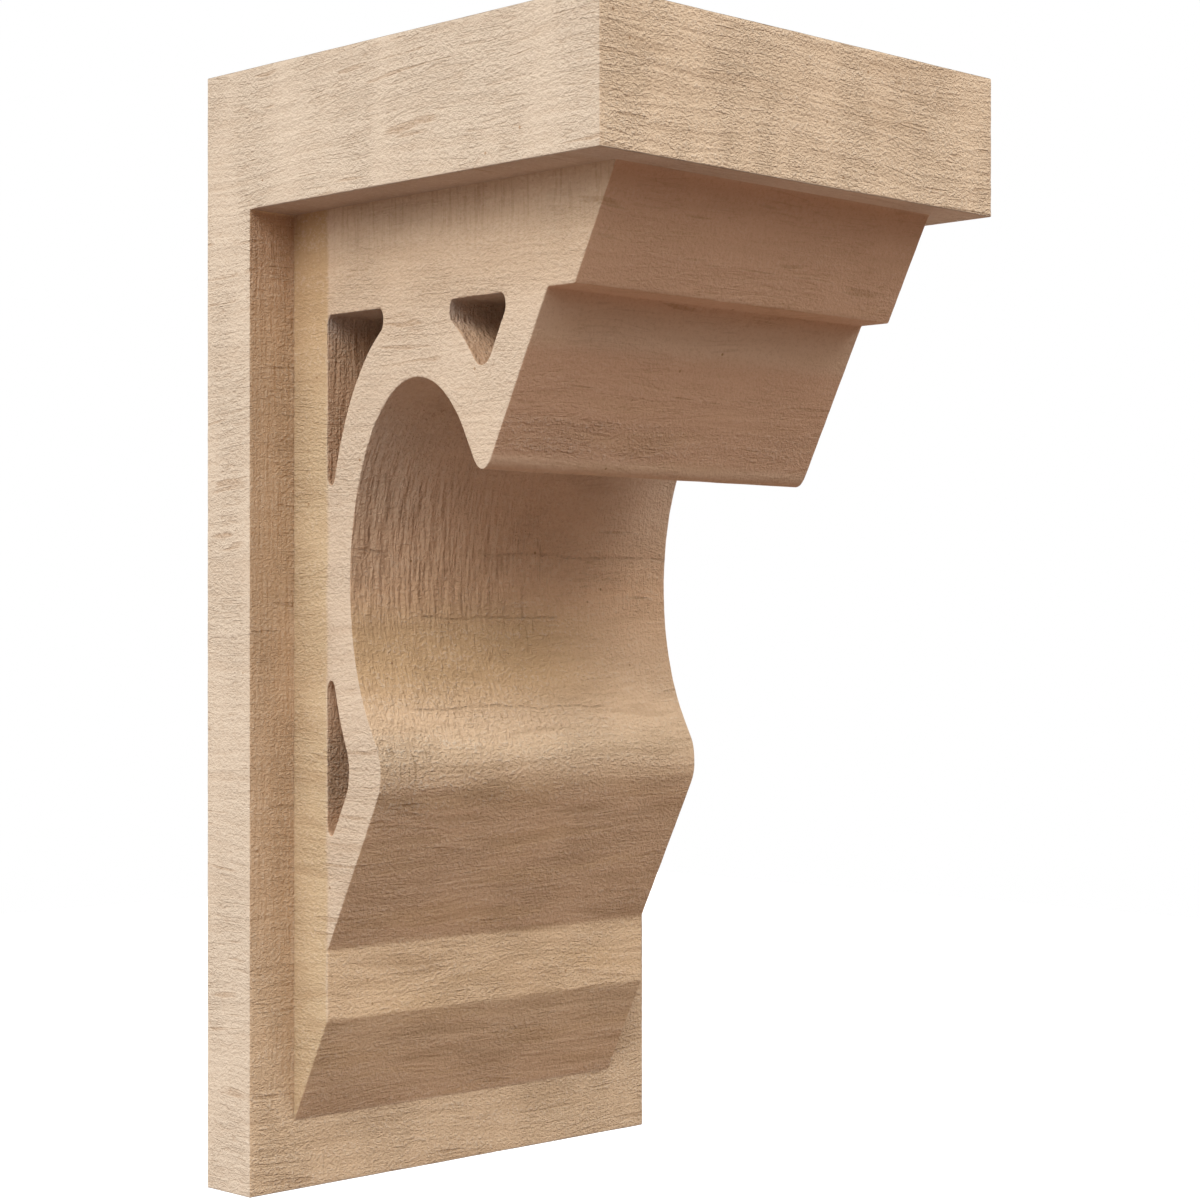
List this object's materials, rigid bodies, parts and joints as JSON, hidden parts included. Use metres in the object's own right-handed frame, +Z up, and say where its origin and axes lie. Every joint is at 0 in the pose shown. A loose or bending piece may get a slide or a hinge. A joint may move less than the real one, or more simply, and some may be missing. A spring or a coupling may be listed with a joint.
{
  "type": "corbel",
  "caption": "Rough-sawn wooden corbel: a thick square cap and a thin back plate on a sawn bracket with a deep cove and pierced windows.",
  "frame": {"origin": "on the wall plane, at the middle of the corbel's back, halfway across and halfway up", "axes": "+Z up, -Y out from the wall towards the front, +X to the right seen from the front"},
  "size_m": [0.1524, 0.1524, 0.3048],
  "materials": {
    "rough_sawn_wood": "rough sawn, unfinished",
    "screw_steel": "zinc-plated, satin"
  },
  "bodies": {
    "root": {"cap": "rough_sawn_wood", "back_plate": "rough_sawn_wood", "bracket": "rough_sawn_wood", "cap_screws": "screw_steel", "back_screws": "screw_steel"}
  },
  "joints": []
}
